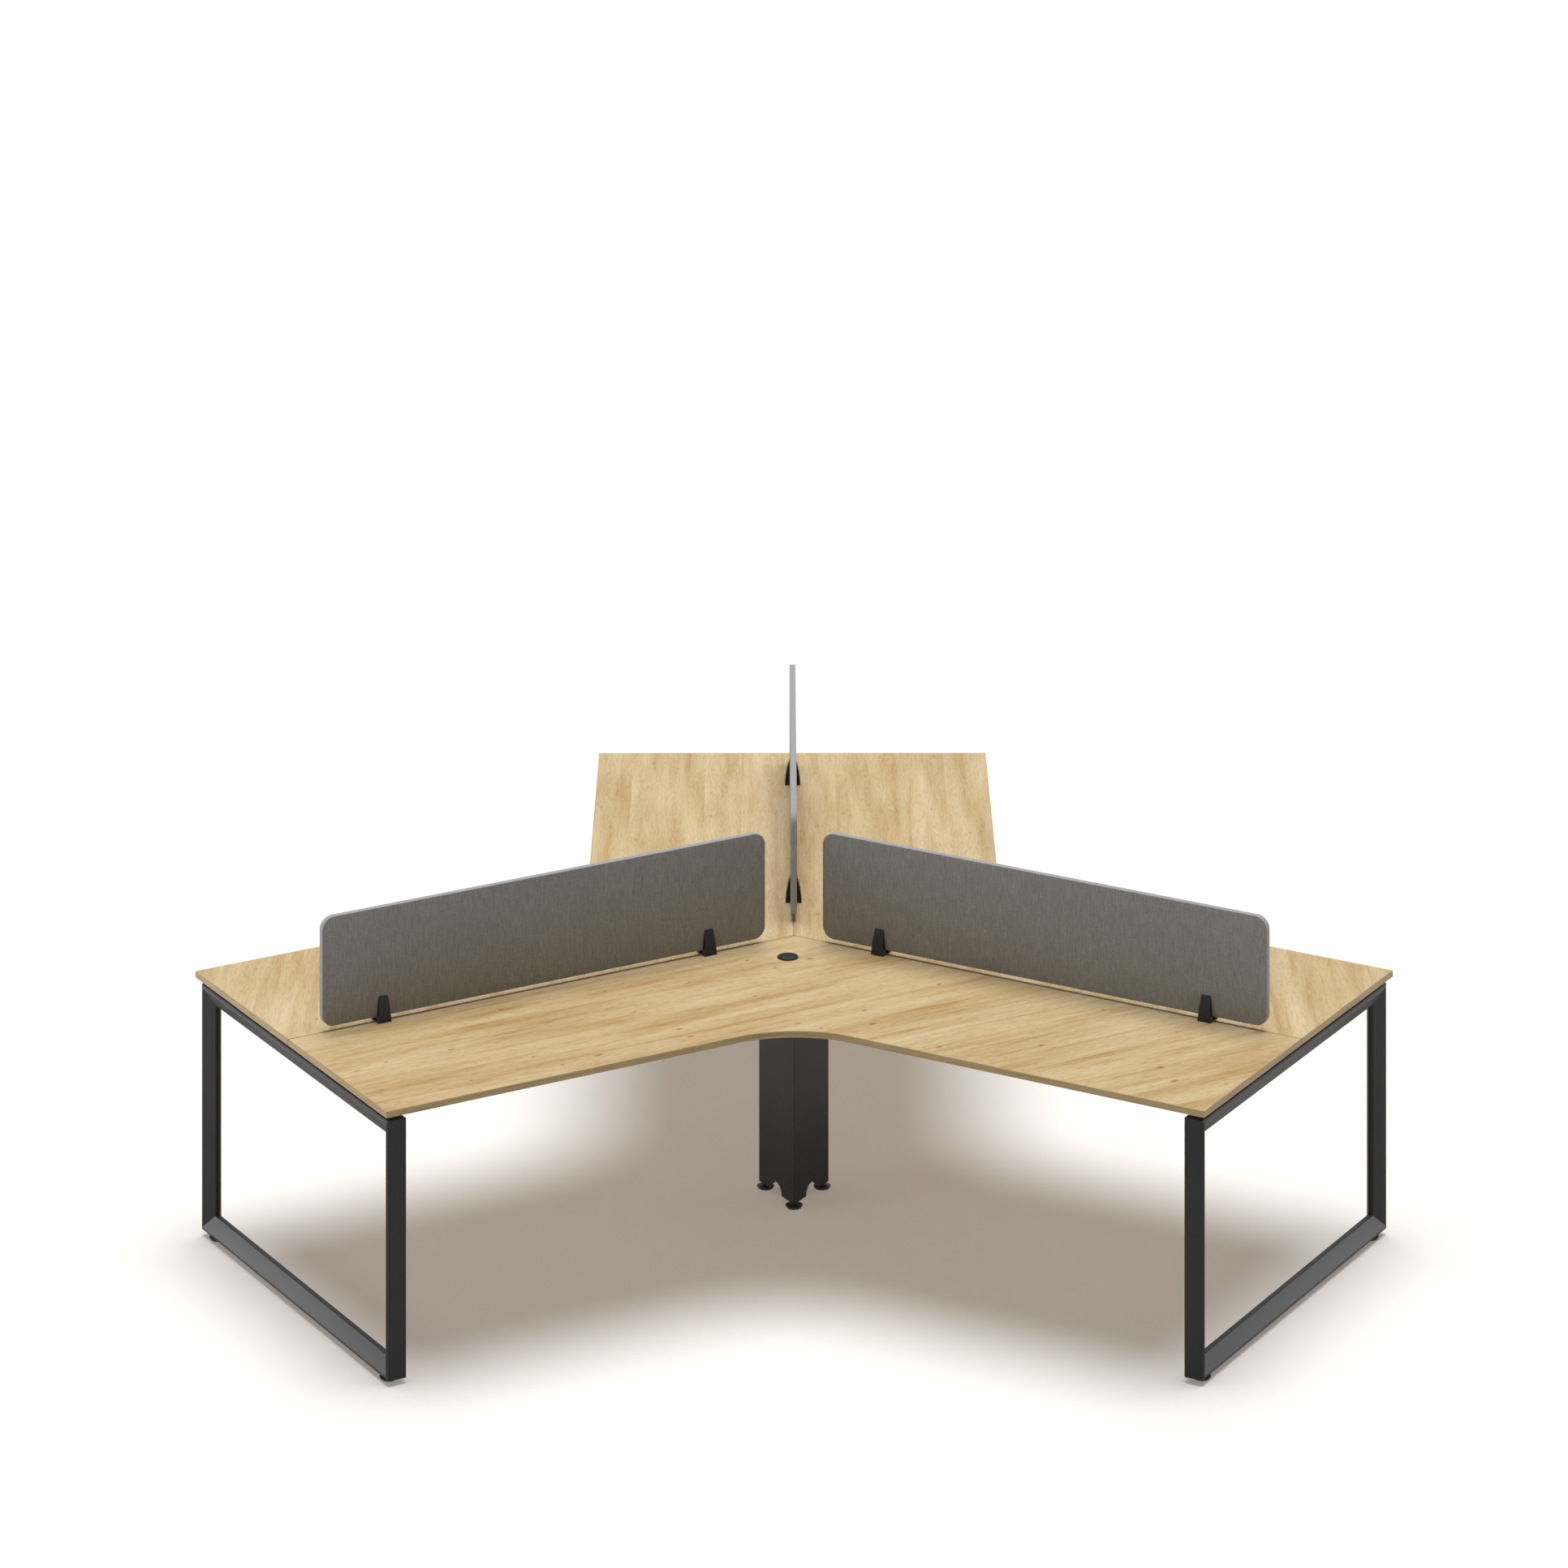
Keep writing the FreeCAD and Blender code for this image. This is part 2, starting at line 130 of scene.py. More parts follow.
def seen_directly(tree):
    """1 for rays from the camera, or by way of a shine or clear piece; 0 for rays that spread light."""
    path = add(tree, "ShaderNodeLightPath")
    seen = add(tree, "ShaderNodeMath", {0: path["Is Camera Ray"], 1: path["Is Glossy Ray"]},
               operation="MAXIMUM")[0]
    return add(tree, "ShaderNodeMath", {0: seen, 1: path["Is Transmission Ray"]}, operation="MAXIMUM")[0]


def join_shader(tree, shader, tone, gloss, press):
    """Feeds a shader its colour, roughness and surface relief."""
    tree.links.new(tone, shader.inputs["Base Color"])
    tree.links.new(gloss, shader.inputs["Roughness"])
    tree.links.new(press, shader.inputs["Normal"])


# Sizes of the marks in the oak print, in millimetres: along the grain, across it and upwards
DRIFT_MM = (420, 70, 70)
ZONE_MM = (600, 62, 62)
STREAK_MM = (240, 17, 17)
# Pores are under a millimetre wide; they are drawn 2.5 mm wide so that they show
PORE_MM = (40, 2.5, 2.5)
# Year rings are a few millimetres apart; the bands of this pattern lie 0.31 of its size apart, which
# draws them some 16 mm apart so that they show
RING_MM = (260, 50, 50)
KNOT_MM = (250, 135, 135)
# The grain wanders half of this to each side
DRIFT_REACH = 16 * MM
# Staves run past both ends of a board, and each shows another stretch of the print
STAVE_LENGTH_MM = 9000
STAVE_STAGGER_SHARE = 0.37
STAVE_SHIFT = (7.3, 2.9, 0)
# Share of the streaks that the lightest zones keep
PALE_STREAK_SHARE = 0.35


def oak_melamine(name, turn, start, stave_mm, streak_share, ring_share, knot_share):
    """Printed oak melamine: pale honey boards with soft darker bands, faint year rings and small knots.

    The print lies under a matt clear face, so the gloss is nearly even and only the pores are pressed in.
    """
    material, tree, shader = start_material(name, IOR=1.5, Specular_IOR_Level=0.2)
    place = add(tree, "ShaderNodeTexCoord")["Object"]
    grain = add(tree, "ShaderNodeMapping", {"Vector": place, "Location": start, "Rotation": (0, 0, turn)},
                vector_type="TEXTURE")["Vector"]
    # Each stave of the print has its own figure and is a little lighter or darker
    stave_length, stave_width = millimetres(STAVE_LENGTH_MM, stave_mm)
    staves = add(tree, "ShaderNodeTexBrick", {
        "Vector": grain, "Color1": (0, 0, 0, 1), "Color2": (1, 1, 1, 1), "Scale": 1, "Mortar Size": 0,
        "Brick Width": stave_length, "Row Height": stave_width}, offset=STAVE_STAGGER_SHARE)["Color"]
    apart = add(tree, "ShaderNodeVectorMath", {0: staves, 1: STAVE_SHIFT}, operation="MULTIPLY")[0]
    own = add(tree, "ShaderNodeVectorMath", {0: grain, 1: apart})[0]
    # The grain wanders some millimetres to the side over half a metre, and crinkles a little
    drift_place = add(tree, "ShaderNodeMapping", {"Vector": own, "Scale": millimetres(*DRIFT_MM)},
                      vector_type="TEXTURE")["Vector"]
    drift = add(tree, "ShaderNodeTexNoise", {"Vector": drift_place, "Scale": 1, "Detail": 4,
                                             "Roughness": 0.6})["Color"]
    drift = add(tree, "ShaderNodeVectorMath", {0: drift, 1: (0.5, 0.5, 0.5)}, operation="SUBTRACT")[0]
    drift = add(tree, "ShaderNodeVectorMath", {0: drift, 1: (0, DRIFT_REACH, 0)}, operation="MULTIPLY")[0]
    wavy = add(tree, "ShaderNodeVectorMath", {0: own, 1: drift})[0]
    # Broad lighter and darker zones along the grain
    zone_place = add(tree, "ShaderNodeMapping", {"Vector": wavy, "Scale": millimetres(*ZONE_MM)},
                     vector_type="TEXTURE")["Vector"]
    zones = add(tree, "ShaderNodeTexNoise", {"Vector": zone_place, "Scale": 1, "Detail": 2})["Fac"]
    streak_place = add(tree, "ShaderNodeMapping", {"Vector": wavy, "Scale": millimetres(*STREAK_MM)},
                       vector_type="TEXTURE")["Vector"]
    streaks = add(tree, "ShaderNodeTexNoise", {"Vector": streak_place, "Scale": 1, "Detail": 4,
                                               "Roughness": 0.55})["Fac"]
    pore_place = add(tree, "ShaderNodeMapping", {"Vector": wavy, "Scale": millimetres(*PORE_MM)},
                     vector_type="TEXTURE")["Vector"]
    pores = add(tree, "ShaderNodeTexNoise", {"Vector": pore_place, "Scale": 1, "Detail": 2,
                                             "Roughness": 0.7})["Fac"]
    # Year rings bend into arches where the board cuts the swell of the trunk
    ring_place = add(tree, "ShaderNodeMapping", {"Vector": wavy, "Scale": millimetres(*RING_MM)},
                     vector_type="TEXTURE")["Vector"]
    rings = add(tree, "ShaderNodeTexWave", {
        "Vector": ring_place, "Scale": 1, "Distortion": 22, "Detail": 3, "Detail Scale": 1,
        "Detail Roughness": 0.5}, bands_direction="Y")["Fac"]
    knot_place = add(tree, "ShaderNodeMapping", {"Vector": wavy, "Scale": millimetres(*KNOT_MM)},
                     vector_type="TEXTURE")["Vector"]
    knots = add(tree, "ShaderNodeTexVoronoi", {"Vector": knot_place, "Scale": 1}, voronoi_dimensions="2D")
    # One of a knot's random values sets its size, so that few are large
    knot_size = add(tree, "ShaderNodeSeparateColor", {"Color": knots["Color"]})["Red"]
    knot = add(tree, "ShaderNodeMath", {0: knots["Distance"], 1: knot_size}, operation="DIVIDE")[0]
    tone = add(tree, "ShaderNodeValToRGB", {"Fac": zones}, stops=(
        (0.30, "#C3AA7E"), (0.68, "#DAC8A3")))["Color"]
    stave_tone = add(tree, "ShaderNodeValToRGB", {"Fac": staves}, stops=(
        (0.0, "#F8F2E9"), (1.0, "#FFFFFF")))["Color"]
    streak_tone = add(tree, "ShaderNodeValToRGB", {"Fac": streaks}, stops=(
        (0.30, "#DFC9A5"), (0.42, "#F1E6D3"), (0.52, "#FFFFFF")))["Color"]
    pore_tone = add(tree, "ShaderNodeValToRGB", {"Fac": pores}, stops=(
        (0.34, "#DAC6A5"), (0.47, "#FFFFFF")))["Color"]
    ring_tone = add(tree, "ShaderNodeValToRGB", {"Fac": rings}, stops=(
        (0.55, "#FFFFFF"), (0.98, "#E6D6BB")))["Color"]
    knot_tone = add(tree, "ShaderNodeValToRGB", {"Fac": knot}, stops=(
        (0.012, "#8F6A3E"), (0.028, "#C9A877"), (0.07, "#FFFFFF")))["Color"]
    # Streaks gather in the darker zones
    gathered = add(tree, "ShaderNodeMapRange", {
        "Value": zones, "From Min": 0.35, "From Max": 0.65, "To Min": streak_share,
        "To Max": PALE_STREAK_SHARE * streak_share})["Result"]
    for share, shade in ((1.0, stave_tone), (gathered, streak_tone), (streak_share, pore_tone),
                         (ring_share, ring_tone), (knot_share, knot_tone)):
        tone = add(tree, "ShaderNodeMix", {0: share, 6: tone, 7: shade},
                   data_type="RGBA", blend_type="MULTIPLY")[2]
    gloss = add(tree, "ShaderNodeMapRange", {"Value": pores, "From Min": 0.3, "From Max": 0.6,
                                             "To Min": 0.62, "To Max": 0.5})["Result"]
    press = add(tree, "ShaderNodeBump", {"Height": pores, "Strength": 0.12, "Distance": 0.3 * MM})[0]
    join_shader(tree, shader, tone, gloss, press)
    return material


# The lines of the edging are under a millimetre apart; they are drawn 3 mm apart so that they show
EDGING_LINE_MM = (160, 160, 3)


def oak_edging():
    """Printed oak edging strip: fine lines along the edge, a touch darker than the boards' faces."""
    material, tree, shader = start_material("oak_edging", IOR=1.5, Specular_IOR_Level=0.1)
    place = add(tree, "ShaderNodeTexCoord")["Object"]
    line_place = add(tree, "ShaderNodeMapping", {"Vector": place, "Scale": millimetres(*EDGING_LINE_MM)},
                     vector_type="TEXTURE")["Vector"]
    lines = add(tree, "ShaderNodeTexNoise", {"Vector": line_place, "Scale": 1, "Detail": 3,
                                             "Roughness": 0.6})["Fac"]
    tone = add(tree, "ShaderNodeValToRGB", {"Fac": lines}, stops=(
        (0.32, "#A28A63"), (0.50, "#B49E77"), (0.68, "#BEA883")))["Color"]
    gloss = add(tree, "ShaderNodeMapRange", {"Value": lines, "From Min": 0.3, "From Max": 0.7,
                                             "To Min": 0.58, "To Max": 0.46})["Result"]
    press = add(tree, "ShaderNodeBump", {"Height": lines, "Strength": 0.1, "Distance": 0.2 * MM})[0]
    join_shader(tree, shader, tone, gloss, press)
    return material


# Size of the faint clouds in a coated or moulded face
CLOUD = 160 * MM


def grained_finish(name, dark, light, grain_mm, rough_low, rough_high, relief_mm, **steady):
    """Finish of an even colour, broken up by a fine grain that also roughens and dents it.

    The real grains are a fraction of a millimetre; grain_mm draws them as coarse as they need to show.
    """
    material, tree, shader = start_material(name, **steady)
    place = add(tree, "ShaderNodeTexCoord")["Object"]
    grain = add(tree, "ShaderNodeTexNoise", {"Vector": place, "Scale": 1 / (grain_mm * MM), "Detail": 3,
                                             "Roughness": 0.6})["Fac"]
    cloud = add(tree, "ShaderNodeTexNoise", {"Vector": place, "Scale": 1 / CLOUD, "Detail": 2})["Fac"]
    mixed = add(tree, "ShaderNodeMix", {0: 0.5, 2: grain, 3: cloud})[0]
    tone = add(tree, "ShaderNodeValToRGB", {"Fac": mixed}, stops=((0.35, dark), (0.65, light)))["Color"]
    gloss = add(tree, "ShaderNodeMapRange", {"Value": grain, "From Min": 0.3, "From Max": 0.7,
                                             "To Min": rough_low, "To Max": rough_high})["Result"]
    press = add(tree, "ShaderNodeBump", {"Height": grain, "Strength": 0.25, "Distance": relief_mm * MM})[0]
    join_shader(tree, shader, tone, gloss, press)
    return material


# Yarns are about half a millimetre; slubs and wefts are drawn 1.8 mm wide so that they show
SLUB_MM = (1.8, 1.8, 26)
WEFT_MM = (9, 9, 1.8)


def screen_fabric(name, turn, dark, middling, light):
    """Woven polyester over a board: grey yarns with darker and lighter slubs that run up the screen.

    Loose fibre ends catch the light at a flat angle, so the cloth has a weak sheen.
    """
    material, tree, shader = start_material(name, IOR=1.45, Specular_IOR_Level=0.2, Sheen_Weight=0.1)
    place = add(tree, "ShaderNodeTexCoord")["Object"]
    along = add(tree, "ShaderNodeMapping", {"Vector": place, "Rotation": (0, 0, turn)},
                vector_type="TEXTURE")["Vector"]
    slub_place = add(tree, "ShaderNodeMapping", {"Vector": along, "Scale": millimetres(*SLUB_MM)},
                     vector_type="TEXTURE")["Vector"]
    slubs = add(tree, "ShaderNodeTexNoise", {"Vector": slub_place, "Scale": 1, "Detail": 3,
                                             "Roughness": 0.65})["Fac"]
    weft_place = add(tree, "ShaderNodeMapping", {"Vector": along, "Scale": millimetres(*WEFT_MM)},
                     vector_type="TEXTURE")["Vector"]
    weft = add(tree, "ShaderNodeTexNoise", {"Vector": weft_place, "Scale": 1, "Detail": 2})["Fac"]
    thread = add(tree, "ShaderNodeMix", {0: 0.3, 2: slubs, 3: weft})[0]
    tone = add(tree, "ShaderNodeValToRGB", {"Fac": thread}, stops=(
        (0.30, dark), (0.50, middling), (0.70, light)))["Color"]
    gloss = add(tree, "ShaderNodeMapRange", {"Value": thread, "From Min": 0.3, "From Max": 0.7,
                                             "To Min": 0.95, "To Max": 0.82})["Result"]
    press = add(tree, "ShaderNodeBump", {"Height": thread, "Strength": 0.5, "Distance": 0.4 * MM})[0]
    join_shader(tree, shader, tone, gloss, press)
    return material


# The front board's grain runs along the left arm, the other two boards' along the back arm
BOARD_PRINTS = {
    "front": {"turn": ARM_TURNS["left"], "start": (-1.8, -1.0, 0.0), "stave_mm": 460,
              "streak_share": 0.85, "ring_share": 0.15, "knot_share": 0.8},
    "right": {"turn": ARM_TURNS["back"], "start": (1.7, 1.62, 0.0), "stave_mm": 112,
              "streak_share": 0.5, "ring_share": 0.3, "knot_share": 0.35},
    "left": {"turn": ARM_TURNS["back"], "start": (4.1, 1.55, 0.0), "stave_mm": 112,
             "streak_share": 0.5, "ring_share": 0.3, "knot_share": 0.35}}

oak_faces = {desk: oak_melamine(f"oak_melamine_{desk}", **BOARD_PRINTS[desk]) for desk in DESKS}
edging = oak_edging()
# Baked powder coat with a fine texture: charcoal, its orange-peel grain spreads reflections
powder_coat = grained_finish(
    "charcoal_powder_coat", "#272728", "#2E2E2F", grain_mm=2.5, rough_low=0.46, rough_high=0.56,
    relief_mm=0.03, IOR=1.45, Specular_IOR_Level=0.24)
# The folded post has the same coat baked to a matt face
matt_coat = grained_finish(
    "matt_powder_coat", "#29292A", "#2F2F30", grain_mm=2.5, rough_low=0.45, rough_high=0.55,
    relief_mm=0.03, IOR=1.45, Specular_IOR_Level=0.15)
# Glass-filled nylon from a spark-eroded mould: nearly black, with a dull even grain
nylon = grained_finish(
    "moulded_nylon", "#131313", "#191919", grain_mm=1.5, rough_low=0.42, rough_high=0.55,
    relief_mm=0.05, IOR=1.53, Specular_IOR_Level=0.3)
# Moulded ABS: charcoal with a satin face
abs_plastic = grained_finish(
    "moulded_abs", "#1A1B1C", "#212223", grain_mm=1.5, rough_low=0.5, rough_high=0.62,
    relief_mm=0.04, IOR=1.54, Specular_IOR_Level=0.1)
# Polyamide glide: black and slightly scuffed
glide = grained_finish(
    "glide_polyamide", "#141414", "#1C1C1C", grain_mm=2.0, rough_low=0.40, rough_high=0.60,
    relief_mm=0.08, IOR=1.53)
# Cell rubber: soft black with no shine
rubber = grained_finish(
    "cell_rubber", "#121212", "#1B1B1B", grain_mm=1.2, rough_low=0.80, rough_high=0.95,
    relief_mm=0.10, IOR=1.52)
# Zinc-plated steel: pale grey metal with a clouded, slightly blue passivation
zinc = grained_finish(
    "zinc_plated_steel", "#9C9FA3", "#C6C9CC", grain_mm=4.0, rough_low=0.30, rough_high=0.46,
    relief_mm=0.03, Metallic=1.0)
# Blackened steel: dark oxide on turned threads and nuts, with a dull oiled shine
black_steel = grained_finish(
    "blackened_steel", "#2A2A2B", "#3A3A3C", grain_mm=1.5, rough_low=0.38, rough_high=0.55,
    relief_mm=0.03, Metallic=1.0)
fabrics = {}
painted_light_rims = {}
for arm, turn in ARM_TURNS.items():
    fabrics[arm] = screen_fabric(f"screen_fabric_{arm}", turn, "#7B7B7C", "#909091", "#A5A5A6")
    # The rim gets a paler copy of the cloth: painted light, standing in for the light from above and the
    # sheen that the rim catches
    painted_light_rims[arm] = screen_fabric(f"screen_rim_painted_light_{arm}", turn, "#99999B", "#A6A6A8", "#B2B2B4")

# Finishes by how a CAD node's name starts
FINISHES = (
    ("worktop_screws", zinc), ("worktop_brackets", powder_coat), ("edge_band", edging),
    ("clamp_jaws", nylon), ("clamp_rests", nylon), ("clamp_anchors", zinc), ("grommet", abs_plastic),
    ("frame_pads", rubber), ("post_head_pads", rubber), ("post_shell", matt_coat),
    ("rail_tongues", zinc), ("post_tongues", zinc), ("frame_foot_blocks", zinc))


def finish_of(node):
    """The material that a CAD node shows."""
    for start, material in FINISHES:
        if node.startswith(start):
            return material
    kind, _, place = node.partition("_")
    if kind == "worktop":
        return oak_faces[place]
    if kind == "screen":
        return fabrics[place]
    return glide if node in FEET else powder_coat


def wear(piece, *materials):
    """Gives a piece its materials, in the order of their slots."""
    piece.data.materials.clear()
    for material in materials:
        piece.data.materials.append(material)


for name, node in nodes.items():
    wear(node, finish_of(name))


# Modelling


# Points nearer than this are one point
MERGE_ROOM = 0.005 * MM
# Faces that turn by less than these are one flat face, or are shaded as one soft face
FLAT_TURN = math.radians(0.5)
SMOOTH_TURN = math.radians(35)


def edit(piece):
    """Opens a piece in edit mode with nothing selected."""
    bpy.ops.object.select_all(action="DESELECT")
    piece.select_set(True)
    bpy.context.view_layer.objects.active = piece
    bpy.ops.object.mode_set(mode="EDIT")
    bpy.ops.mesh.select_mode(type="EDGE")
    bpy.ops.mesh.select_all(action="DESELECT")


def pick_edges(piece, test):
    """Selects the edges that pass a test, in edit mode, and tells how many they are."""
    form = bmesh.from_edit_mesh(piece.data)
    form.normal_update()
    bpy.ops.mesh.select_all(action="DESELECT")
    chosen = [edge for edge in form.edges if test(edge)]
    for edge in chosen:
        edge.select_set(True)
    bmesh.update_edit_mesh(piece.data)
    return len(chosen)


def close_edit():
    """Leaves edit mode with doubles merged, faces outwards and soft shading over gentle turns."""
    bpy.ops.mesh.select_all(action="SELECT")
    bpy.ops.mesh.remove_doubles(threshold=MERGE_ROOM)
    bpy.ops.mesh.normals_make_consistent(inside=False)
    bpy.ops.object.mode_set(mode="OBJECT")
    bpy.ops.object.shade_smooth_by_angle(angle=SMOOTH_TURN)


def placed_copy(form, name, matrix):
    """Copy of a finished form with its own mesh, moved to its place."""
    piece = bpy.data.objects.new(name, form.data.copy())
    piece.data.name = name
    piece.data.transform(matrix)
    bpy.context.scene.collection.objects.link(piece)
    return piece


def settle(piece, body, node):
    """Fixes a piece to its body in place of a CAD node."""
    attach(piece, body)
    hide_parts(node)


def turned(name, outline, sides):
    """Round form about Z through (radius, height) points in millimetres; open ends are closed flat."""
    (radius, height), *rest = outline
    bpy.ops.object.select_all(action="DESELECT")
    bpy.ops.mesh.primitive_circle_add(vertices=sides, radius=radius * MM, location=(0, 0, height * MM))
    form = bpy.context.object
    form.name = name
    bpy.ops.object.transform_apply(location=True, rotation=False, scale=False)
    edit(form)
    bpy.ops.mesh.select_all(action="SELECT")
    for next_radius, next_height in rest:
        rise = (next_height - height) * MM
        spread = next_radius / radius
        bpy.ops.mesh.extrude_region_move(TRANSFORM_OT_translate={"value": (0, 0, rise)})
        bpy.ops.transform.resize(value=(spread, spread, 1), center_override=(0, 0, 0))
        radius, height = next_radius, next_height
    bpy.ops.mesh.select_all(action="SELECT")
    bpy.ops.mesh.remove_doubles(threshold=MERGE_ROOM)
    if pick_edges(form, lambda edge: edge.is_boundary):
        bpy.ops.mesh.fill_holes(sides=0)
    close_edit()
    return form


def merged_copy(node, name):
    """Copy of a CAD node, open in edit mode, with its triangles joined to whole faces."""
    source = nodes[node]
    piece = placed_copy(source, name, source.matrix_world)
    edit(piece)
    bpy.ops.mesh.select_all(action="SELECT")
    bpy.ops.mesh.remove_doubles(threshold=MERGE_ROOM)
    bpy.ops.mesh.dissolve_limited(angle_limit=FLAT_TURN)
    return piece


def close_even(piece):
    """Leaves edit mode; flat faces keep their own shading, and only the rounded edges turn the light."""
    close_edit()
    even = piece.modifiers.new("even", "WEIGHTED_NORMAL")
    even.keep_sharp = True
    bpy.ops.object.modifier_apply(modifier=even.name)


def softened_copy(node, *rounds):
    """Copy of a CAD node, its edges rounded in turn; a round is an edge test, a size and a face count."""
    piece = merged_copy(node, f"{node}_soft")
    for test, size, segments in rounds:
        pick_edges(piece, test)
        bpy.ops.mesh.bevel(offset=size, segments=segments, affect="EDGES")
    close_even(piece)
    return piece


def arm_turn(arm):
    """Turn about the cluster's axis that carries a form on the back arm to another arm."""
    turn = Matrix.Rotation(ARM_TURNS[arm] - ARM_TURNS["back"], 4, "Z")
    return Matrix.Translation(axis_point) @ turn @ Matrix.Translation(-axis_point)


SCREEN_CORNER = 35 * MM
SCREEN_CORNER_STEPS = 10
SCREEN_SOFT_EDGE = 1.2 * MM
SCREEN_EDGE_STEPS = 3
# A face of the board looks across the arm at least by this share of its normal; the rest is rim
BOARD_FACE_SHARE = 0.8


def make_screens():
    """Cloth-covered boards: one is modelled along the back arm and turned for the others."""
    low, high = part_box("screen_back")
    bpy.ops.object.select_all(action="DESELECT")
    bpy.ops.mesh.primitive_cube_add(size=1, location=(low + high) / 2)
    form = bpy.context.object
    form.scale = high - low
    bpy.ops.object.transform_apply(location=True, rotation=False, scale=True)
    edit(form)
    thickness = high.x - low.x
    pick_edges(form, lambda edge: abs(edge.verts[0].co.x - edge.verts[1].co.x) > thickness / 2)
    bpy.ops.mesh.bevel(offset=SCREEN_CORNER, segments=SCREEN_CORNER_STEPS, affect="EDGES")
    pick_edges(form, lambda edge: abs(edge.verts[0].co.x - edge.verts[1].co.x) < thickness / 2)
    bpy.ops.mesh.bevel(offset=SCREEN_SOFT_EDGE, segments=SCREEN_EDGE_STEPS, affect="EDGES")
    close_edit()
    for arm in ARMS:
        turn = arm_turn(arm)
        screen = placed_copy(form, f"screen_board_{arm}", turn)
        wear(screen, fabrics[arm], painted_light_rims[arm])
        across = turn.to_3x3() @ Vector((1, 0, 0))
        # The rim's faces take the paler cloth, whose paleness is painted light from above and painted sheen
        for face in screen.data.polygons:
            face.material_index = 0 if abs(face.normal.dot(across)) > BOARD_FACE_SHARE else 1
        settle(screen, MAIN_BODY, f"screen_{arm}")
    bpy.data.objects.remove(form)


# Outline of the foot's pad as (radius, height), and sizes of its nut and stud, in millimetres
PAD_OUTLINE = (
    (20.0, 0.0), (21.2, 0.8), (22.9, 3.0), (24.4, 5.4), (25.0, 6.6), (24.8, 7.5), (23.6, 8.3),
    (20.0, 9.1), (14.0, 9.8))
NUT_ACROSS_FLATS = 17
NUT_HEIGHT = 8
NUT_CHAMFER = 0.8
STUD_RADIUS = 4.0
STUD_LENGTH = 30
STUD_PLAIN_END = 1
THREAD_DEPTH = 0.6
THREAD_PITCH = 1.25
PAD_SIDES = 40
NUT_SIDES = 6
STUD_SIDES = 16


def make_feet():
    """Levelling feet: a bowl-shaped glide with a lock nut and a threaded stud."""
    low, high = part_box(FEET[0])
    stud_top = (high.z - low.z) / MM
    pad = turned("foot_pad", PAD_OUTLINE, PAD_SIDES)
    nut_low = stud_top - STUD_LENGTH - NUT_HEIGHT
    nut_top = nut_low + NUT_HEIGHT
    nut_radius = NUT_ACROSS_FLATS / math.sqrt(3)
    corner_cut = nut_radius - NUT_CHAMFER
    nut = turned("foot_nut", (
        (corner_cut, nut_low), (nut_radius, nut_low + NUT_CHAMFER / 2),
        (nut_radius, nut_top - NUT_CHAMFER / 2), (corner_cut, nut_top)), NUT_SIDES)
    turns = int((stud_top - nut_top - STUD_PLAIN_END) / THREAD_PITCH)
    thread = [(STUD_RADIUS - THREAD_DEPTH, nut_low)]
    for number in range(turns):
        root = nut_top + number * THREAD_PITCH
        thread.append((STUD_RADIUS - THREAD_DEPTH, root))
        thread.append((STUD_RADIUS, root + THREAD_PITCH / 2))
    thread.append((STUD_RADIUS - THREAD_DEPTH, stud_top))
    stud = turned("foot_stud", thread, STUD_SIDES)
    wear(pad, glide)
    wear(nut, black_steel)
    wear(stud, black_steel)
    bpy.ops.object.select_all(action="DESELECT")
    for part in (nut, stud, pad):
        part.select_set(True)
    bpy.context.view_layer.objects.active = pad
    bpy.ops.object.join()
    for foot in FEET:
        place = middle(foot)
        place.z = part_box(foot)[0].z
        piece = placed_copy(pad, f"{foot}_glide", Matrix.Translation(place))
        settle(piece, foot, foot)
    bpy.data.objects.remove(pad)


# Outlines of the grommet about its own middle, as (radius, height above the worktop) in millimetres
SLEEVE_OUTLINE = (
    (26.0, -24.0), (26.0, 0.0), (30.0, 0.0), (30.0, 1.6), (29.7, 2.4), (29.0, 2.9), (28.2, 3.0),
    (27.6, 2.9), (27.2, 2.5), (27.0, 1.0), (24.0, 1.0), (24.0, -24.0), (26.0, -24.0))
CAP_OUTLINE = (
    (2.0, -0.5), (21.9, -0.5), (21.9, -5.0), (23.7, -5.0), (23.7, 1.0), (26.7, 1.0), (26.7, 2.3),
    (26.4, 2.8), (25.8, 3.0), (24.0, 3.0), (22.6, 2.8), (21.4, 2.4), (2.0, 2.2))
GROMMET_SIDES = 64


def make_grommets():
    """Cable grommets: a flanged sleeve in the worktop and a dished cap that lifts out."""
    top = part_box("worktop_front")[1].z
    for kind, outline in (("sleeve", SLEEVE_OUTLINE), ("cap", CAP_OUTLINE)):
        form = turned(f"grommet_{kind}_form", outline, GROMMET_SIDES)
        wear(form, abs_plastic)
        for desk in DESKS:
            node = f"grommet_{kind}_{desk}"
            place = middle(node)
            place.z = top
            piece = placed_copy(form, f"{node}_moulding", Matrix.Translation(place))
            settle(piece, node if kind == "cap" else MAIN_BODY, node)
        bpy.data.objects.remove(form)


# Outer radius of the bends in the solid and in the drawn post
POST_BEND = 5 * MM
POST_SHARP_BEND = 0.8 * MM
# Points this far past a bend still belong to it
PICK_ROOM = 0.2 * MM


